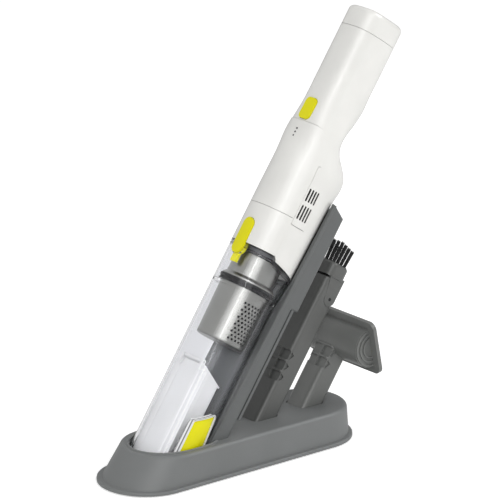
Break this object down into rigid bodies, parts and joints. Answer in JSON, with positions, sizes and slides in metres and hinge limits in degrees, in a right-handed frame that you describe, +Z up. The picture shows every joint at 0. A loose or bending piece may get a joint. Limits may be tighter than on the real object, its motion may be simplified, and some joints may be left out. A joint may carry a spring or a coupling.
{
  "type": "handheld vacuum with charging stand",
  "caption": "Slim handheld vacuum leaning in a charging stand, with a clear dust cup and filter, a crevice tool with a brush, and an upholstery tool.",
  "frame": {"origin": "centre of the bounding box at floor level, under the feet", "axes": "+Z up; +X from the vacuum's nose towards the tools at the rear of the stand; +Y to the left when looking along +X"},
  "size_m": [0.3077, 0.095, 0.3676],
  "materials": {
    "stand_plastic": "fine satin texture",
    "rubber": "matt",
    "screw_steel": "plain",
    "contact_metal": "plated",
    "inlet_plastic": "satin",
    "clear_plastic": "clear, gloss",
    "smoked_plastic": "frosted translucent",
    "lime_plastic": "satin",
    "filter_steel": "brushed",
    "filter_paper": "pleated",
    "white_plastic": "satin",
    "inner_plastic": "plain",
    "motor_steel": "plated",
    "cell_wrap": "shrink wrap",
    "board_green": "solder mask",
    "lens_plastic": "frosted",
    "tool_plastic": "fine satin texture",
    "bristle_nylon": "fibre"
  },
  "bodies": {
    "stand": {"base_shell": "stand_plastic", "bottom_plate": "stand_plastic", "base_screws": "screw_steel", "rubber_feet": "rubber", "charging_inlet": "inlet_plastic", "stand_spine": "stand_plastic", "charging_cover": "stand_plastic", "cover_screws": "screw_steel", "charge_pins": "contact_metal"},
    "dust_cup": {"dust_cup": "clear_plastic", "inlet_duct": "smoked_plastic", "flap_pin": "screw_steel"},
    "inlet_flap": {"inlet_flap": "smoked_plastic"},
    "nose_tab_left": {"nose_tab_left": "lime_plastic"},
    "nose_tab_right": {"nose_tab_right": "lime_plastic"},
    "filter": {"filter_cup": "filter_steel", "filter_element": "filter_paper", "filter_collar": "filter_steel", "filter_gasket": "rubber"},
    "main_body": {"main_shell": "white_plastic", "front_cover": "white_plastic", "latch_cover": "white_plastic", "vent_grille_left": "white_plastic", "vent_grille_right": "white_plastic", "end_cap": "white_plastic", "charge_plates": "contact_metal", "exhaust_foam": "rubber", "motor_bulkhead": "inner_plastic", "motor": "motor_steel", "motor_mount": "rubber", "battery_cells": "cell_wrap", "battery_holder": "inner_plastic", "circuit_board": "board_green", "led_lenses": "lens_plastic"},
    "fan": {"suction_fan": "inner_plastic", "fan_shaft": "screw_steel"},
    "power_button": {"power_button": "lime_plastic"},
    "release_button": {"release_button": "lime_plastic"},
    "crevice_tool": {"crevice_tool": "tool_plastic", "brush_pin": "screw_steel"},
    "brush": {"brush_head": "tool_plastic", "brush_bristles": "bristle_nylon"},
    "upholstery_tool": {"upholstery_tool": "tool_plastic"}
  },
  "joints": [
    {"name": "vacuum_lift", "type": "slide", "parent": "stand", "child": "dust_cup", "axis": [0.5686, 0, 0.8226], "range_m": [0, 0.26]},
    {"name": "filter_lift", "type": "slide", "parent": "dust_cup", "child": "filter", "axis": [0.5686, 0, 0.8226], "range_m": [0, 0.1]},
    {"name": "body_lift", "type": "slide", "parent": "filter", "child": "main_body", "axis": [0.5686, 0, 0.8226], "range_m": [0, 0.08]},
    {"name": "fan_spin", "type": "hinge", "parent": "main_body", "child": "fan", "pos_m": [0.01523, 0, 0.17434], "axis": [0.5686, 0, 0.8226], "continuous": true},
    {"name": "power_press", "type": "slide", "parent": "main_body", "child": "power_button", "axis": [0.8226, 0, -0.5686], "range_m": [0, 0.0015], "stiffness_N_per_m": 400},
    {"name": "release_press", "type": "slide", "parent": "main_body", "child": "release_button", "axis": [0.8226, 0, -0.5686], "range_m": [0, 0.0018], "stiffness_N_per_m": 500},
    {"name": "flap_swing", "type": "hinge", "parent": "dust_cup", "child": "inlet_flap", "pos_m": [-0.06247, 0, 0.09603], "axis": [0, -1, 0], "range_deg": [0, 60]},
    {"name": "tab_left_press", "type": "slide", "parent": "dust_cup", "child": "nose_tab_left", "axis": [0, 1, 0], "range_m": [0, 0.0012], "stiffness_N_per_m": 400},
    {"name": "tab_right_press", "type": "slide", "parent": "dust_cup", "child": "nose_tab_right", "axis": [0, -1, 0], "range_m": [0, 0.0012], "stiffness_N_per_m": 400},
    {"name": "crevice_lift", "type": "slide", "parent": "stand", "child": "crevice_tool", "axis": [0.5686, 0, 0.8226], "range_m": [0, 0.2]},
    {"name": "brush_swing", "type": "hinge", "parent": "crevice_tool", "child": "brush", "pos_m": [0.07478, 0, 0.12103], "axis": [0, 1, 0], "range_deg": [0, 75]},
    {"name": "upholstery_lift", "type": "slide", "parent": "stand", "child": "upholstery_tool", "axis": [0.5686, 0, 0.8226], "range_m": [0, 0.2]}
  ]
}
